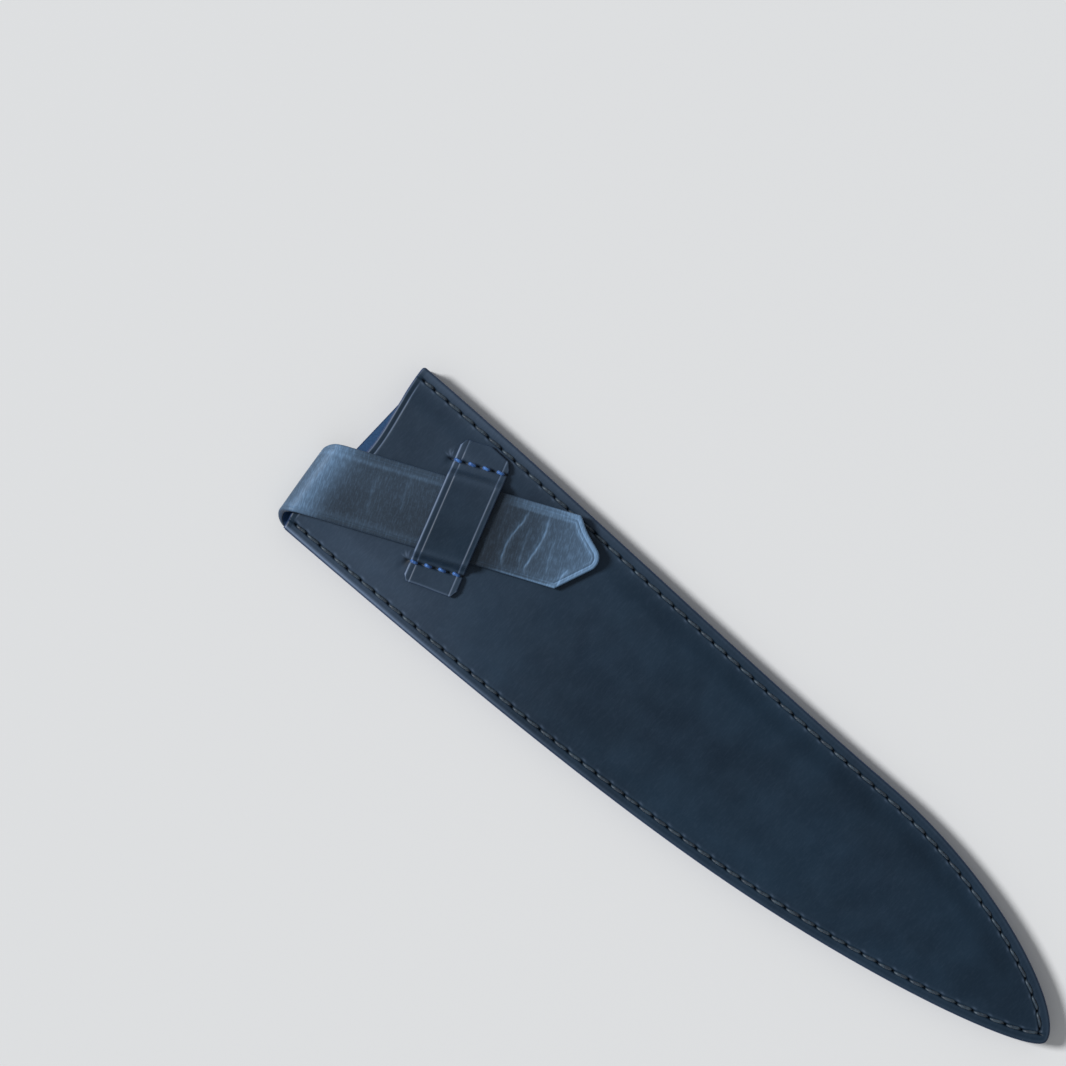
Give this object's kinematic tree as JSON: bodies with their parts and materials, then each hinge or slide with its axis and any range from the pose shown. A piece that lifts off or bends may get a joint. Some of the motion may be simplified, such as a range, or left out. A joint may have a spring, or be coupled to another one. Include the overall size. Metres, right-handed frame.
{
  "type": "knife blade guard",
  "caption": "Stitched leather sheath that covers a chef's knife blade, open at the mouth, with a strap that folds over the front and tucks under a sewn keeper.",
  "frame": {"origin": "centre of the object's box, on the plane of the back face it rests on", "axes": "+X from the mouth to the tip, +Y from the cutting-edge side to the spine side, +Z out of the front panel"},
  "size_m": [0.287, 0.0676, 0.0124],
  "materials": {
    "panel_leather": "waxed pull-up leather, smooth, dark navy slate",
    "strap_leather": "the same leather stretched lighter by bending, dark blue grey",
    "edge_leather": "burnished edge, satin, near black navy",
    "seam_thread": "waxed twisted thread, dark navy",
    "keeper_thread": "waxed twisted thread, bright blue"
  },
  "bodies": {
    "root": {"front_panel": "panel_leather", "back_panel": "panel_leather", "spine_welt": "edge_leather", "edge_welt": "edge_leather", "seam_stitches_front": "seam_thread", "seam_stitches_back": "seam_thread", "keeper": "panel_leather", "keeper_stitches_upper": "keeper_thread", "keeper_stitches_lower": "keeper_thread"},
    "strap_fold_lower": {"strap_fold_lower": "strap_leather"},
    "strap_fold_middle": {"strap_fold_middle": "strap_leather"},
    "strap_fold_upper": {"strap_fold_upper": "strap_leather"},
    "strap_root_run": {"strap_root_run": "strap_leather"},
    "strap_run_near": {"strap_run_near": "strap_leather"},
    "strap_run_far": {"strap_run_far": "strap_leather"},
    "strap_tongue": {"strap_tongue": "strap_leather"},
    "strap_tip": {"strap_tip": "strap_leather"}
  },
  "joints": [
    {"name": "strap_swing", "type": "hinge", "parent": "root", "child": "strap_fold_lower", "pos_m": [-0.13872, -0.02041, 0], "axis": [0.1175, -0.9931, 0], "range_deg": [0, 45], "deforming": ["keeper"]},
    {"name": "fold_crease_middle", "type": "hinge", "parent": "strap_fold_lower", "child": "strap_fold_middle", "pos_m": [-0.14198, -0.01926, 0.00311], "axis": [0.1175, -0.9931, 0], "range_deg": [0, 45]},
    {"name": "fold_crease_upper", "type": "hinge", "parent": "strap_fold_middle", "child": "strap_fold_upper", "pos_m": [-0.14216, -0.01773, 0.00749], "axis": [0.1175, -0.9931, 0], "range_deg": [0, 45]},
    {"name": "fold_crease_top", "type": "hinge", "parent": "strap_fold_upper", "child": "strap_root_run", "pos_m": [-0.13926, -0.01585, 0.0106], "axis": [0.1175, -0.9931, 0], "range_deg": [0, 45]},
    {"name": "strap_bow", "type": "hinge", "parent": "strap_root_run", "child": "strap_run_near", "pos_m": [-0.13162, -0.01212, 0.0106], "axis": [0.4384, -0.8988, 0], "range_deg": [0, 60]},
    {"name": "bow_crease_peak", "type": "hinge", "parent": "strap_run_near", "child": "strap_run_far", "pos_m": [-0.11993, -0.00642, 0.0086], "axis": [0.4384, -0.8988, 0], "range_deg": [-120, 0]},
    {"name": "bow_crease_end", "type": "hinge", "parent": "strap_run_far", "child": "strap_tongue", "pos_m": [-0.10825, -0.00072, 0.0106], "axis": [0.4384, -0.8988, 0], "range_deg": [0, 60]},
    {"name": "tip_lift", "type": "hinge", "parent": "strap_tongue", "child": "strap_tip", "pos_m": [-0.088, 0.00915, 0.0106], "axis": [0.4384, -0.8988, 0], "range_deg": [0, 100]}
  ],
  "couplings": [
    {"joint": "fold_crease_middle", "follows": "strap_swing", "ratio": 1},
    {"joint": "fold_crease_upper", "follows": "strap_swing", "ratio": 1},
    {"joint": "fold_crease_top", "follows": "strap_swing", "ratio": 1},
    {"joint": "bow_crease_peak", "follows": "strap_bow", "ratio": -2},
    {"joint": "bow_crease_end", "follows": "strap_bow", "ratio": 1}
  ]
}
